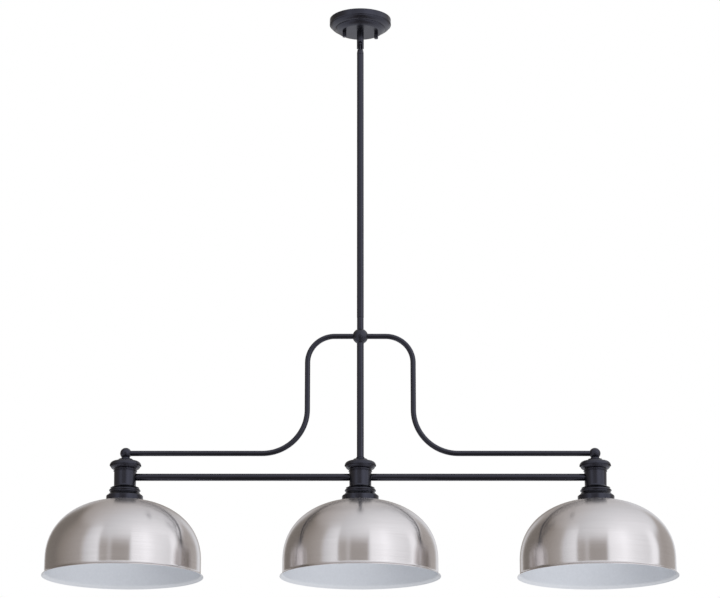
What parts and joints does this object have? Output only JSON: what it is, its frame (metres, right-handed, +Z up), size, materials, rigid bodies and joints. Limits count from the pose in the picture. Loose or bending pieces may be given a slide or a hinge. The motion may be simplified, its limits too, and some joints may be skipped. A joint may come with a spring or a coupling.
{
  "type": "linear island pendant",
  "caption": "Long ceiling pendant with metal dome shades in a row under a black pipe frame with curved arms, hung on a swivel from a round canopy.",
  "frame": {"origin": "centre of the canopy's rim on the ceiling plane", "axes": "+Z up, X along the row of shades, -Y to the front, where the swivel's slot opens"},
  "size_m": [1.3028, 0.3302, 1.2235],
  "materials": {
    "black_powder_coat": "satin, fine grain",
    "brushed_nickel": "brushed round the dome",
    "white_enamel": "gloss, inside of the shades",
    "glazed_porcelain": "gloss",
    "brass": "bright",
    "moulded_phenolic": "satin",
    "zinc_plate": "bright zinc",
    "green_zinc": "green"
  },
  "bodies": {
    "ceiling_mount": {"mounting_crossbar": "zinc_plate", "ground_screw": "green_zinc", "canopy_studs": "zinc_plate", "stud_nuts": "zinc_plate", "ceiling_nipple": "zinc_plate", "ceiling_nipple_nuts": "zinc_plate", "canopy": "black_powder_coat", "canopy_nuts": "black_powder_coat", "swivel_bushing": "zinc_plate", "swivel_housing": "black_powder_coat"},
    "swivel_ball": {"swivel_ball": "black_powder_coat"},
    "fixture": {"swivel_coupler": "black_powder_coat", "down_rod": "black_powder_coat", "joint_nipple": "zinc_plate", "hub_stem": "black_powder_coat", "hub": "black_powder_coat", "centre_stem": "black_powder_coat", "left_arm": "black_powder_coat", "left_end_ball": "black_powder_coat", "right_arm": "black_powder_coat", "right_end_ball": "black_powder_coat", "left_cap": "black_powder_coat", "left_column": "black_powder_coat", "left_base_flange": "black_powder_coat", "left_lamp_holder": "glazed_porcelain", "left_screw_shell": "brass", "left_centre_contact": "brass", "left_shade": "brushed_nickel", "left_retaining_ring": "moulded_phenolic", "middle_cap": "black_powder_coat", "middle_column": "black_powder_coat", "middle_base_flange": "black_powder_coat", "middle_lamp_holder": "glazed_porcelain", "middle_screw_shell": "brass", "middle_centre_contact": "brass", "middle_shade": "brushed_nickel", "middle_retaining_ring": "moulded_phenolic", "right_cap": "black_powder_coat", "right_column": "black_powder_coat", "right_base_flange": "black_powder_coat", "right_lamp_holder": "glazed_porcelain", "right_screw_shell": "brass", "right_centre_contact": "brass", "right_shade": "brushed_nickel", "right_retaining_ring": "moulded_phenolic", "lamp_nipples": "zinc_plate", "lamp_nipple_nuts": "zinc_plate", "left_cross_bar": "black_powder_coat", "right_cross_bar": "black_powder_coat", "bar_nipples": "zinc_plate", "bar_nuts": "zinc_plate"}
  },
  "joints": [
    {"name": "swivel_lean", "type": "hinge", "parent": "ceiling_mount", "child": "swivel_ball", "pos_m": [0, 0, -0.056], "axis": [-1, 0, 0], "range_deg": [-4, 45]},
    {"name": "stem_turn", "type": "hinge", "parent": "swivel_ball", "child": "fixture", "pos_m": [0, 0, -0.056], "axis": [0, 0, 1], "range_deg": [-170, 170]}
  ]
}
